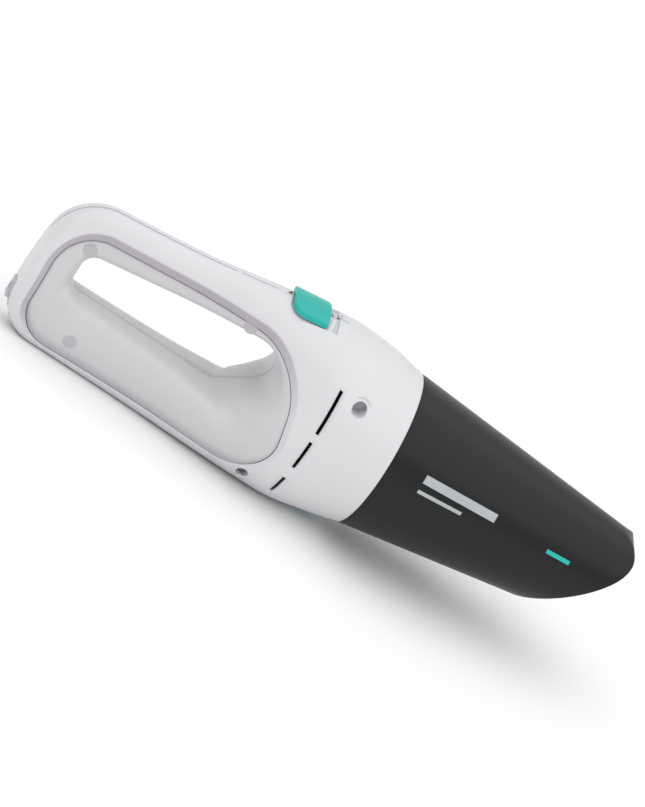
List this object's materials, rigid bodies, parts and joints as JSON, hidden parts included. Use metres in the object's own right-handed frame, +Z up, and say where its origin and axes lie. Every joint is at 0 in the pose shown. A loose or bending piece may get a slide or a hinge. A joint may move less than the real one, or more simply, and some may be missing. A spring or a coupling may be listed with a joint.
{
  "type": "handheld vacuum",
  "caption": "Cordless handheld vacuum: two-shell body with a D handle, top slide switch, side vents, and a tapered dust cup with a slanted mouth.",
  "frame": {"origin": "centre of the bounding box in X and Y, on the surface that the rest face stands on", "axes": "+X towards the nose, +Z up with the rest face down; the motor's axis rises 3 degrees towards the nose"},
  "size_m": [0.3964, 0.1064, 0.1152],
  "materials": {
    "white_abs": "satin, fine moulded texture",
    "grey_abs": "satin",
    "plug_grey": "satin",
    "teal_plastic": "satin",
    "charcoal_abs": "satin",
    "black_plastic": "matt",
    "steel": "drawn, bright",
    "zinc_steel": "zinc plated",
    "magnet": "sintered",
    "copper": "wound",
    "bronze": "sintered",
    "cell_sleeve": "heat-shrink sleeve",
    "nickel": "strip",
    "board": "solder mask",
    "light_lens": "clear red",
    "lead_sleeve": "smooth",
    "rubber": "matt",
    "mesh": "woven",
    "filter_cloth": "pleated"
  },
  "bodies": {
    "body": {"housing_right": "white_abs", "housing_left": "white_abs", "loop_liner_right": "grey_abs", "loop_liner_left": "grey_abs", "screw_plugs": "plug_grey", "housing_screws": "zinc_steel", "power_switch": "black_plastic", "battery_cells": "cell_sleeve", "cell_straps": "nickel", "cell_cradle": "black_plastic", "circuit_board": "board", "charging_socket": "plug_grey", "charge_light": "light_lens", "leads": "lead_sleeve", "motor_can": "steel", "motor_end_cap": "black_plastic", "motor_magnets": "magnet", "motor_bearings": "bronze", "motor_mount": "black_plastic", "motor_isolator": "rubber", "fan_shroud": "black_plastic", "release_spring": "steel"},
    "switch": {"switch_slider": "teal_plastic", "switch_carrier": "black_plastic"},
    "rotor": {"motor_armature": "copper", "motor_shaft": "steel", "impeller": "black_plastic"},
    "release": {"release_button": "teal_plastic"},
    "cup": {"dust_cup": "charcoal_abs", "cup_seal": "rubber", "inlet_guard": "charcoal_abs", "flap_pin": "steel"},
    "flap": {"inlet_flap": "rubber"},
    "filter": {"filter_frame": "black_plastic", "filter_screen": "mesh", "pleated_filter": "filter_cloth", "filter_seal": "rubber"}
  },
  "joints": [
    {"name": "switch_slide", "type": "slide", "parent": "body", "child": "switch", "axis": [0.9936, 0, 0.1132], "range_m": [0, 0.006]},
    {"name": "fan_spin", "type": "hinge", "parent": "body", "child": "rotor", "pos_m": [0.00239, 0, 0.0566], "axis": [0.9986, 0, 0.0523], "continuous": true},
    {"name": "release_press", "type": "slide", "parent": "body", "child": "release", "axis": [-0.0523, 0, 0.9986], "range_m": [0, 0.0025], "stiffness_N_per_m": 500, "springref_m": -0.001, "deforming": ["release_spring"]},
    {"name": "cup_pull", "type": "slide", "parent": "body", "child": "cup", "axis": [0.9986, 0, 0.0523], "range_m": [0, 0.13]},
    {"name": "filter_pull", "type": "slide", "parent": "body", "child": "filter", "axis": [0.9986, 0, 0.0523], "range_m": [0, 0.065]},
    {"name": "flap_swing", "type": "hinge", "parent": "cup", "child": "flap", "pos_m": [0.13494, 0, 0.08007], "axis": [0, 1, 0], "range_deg": [0, 70]}
  ],
  "couplings": [
    {"joint": "filter_pull", "follows": "cup_pull", "ratio": 0.5}
  ]
}
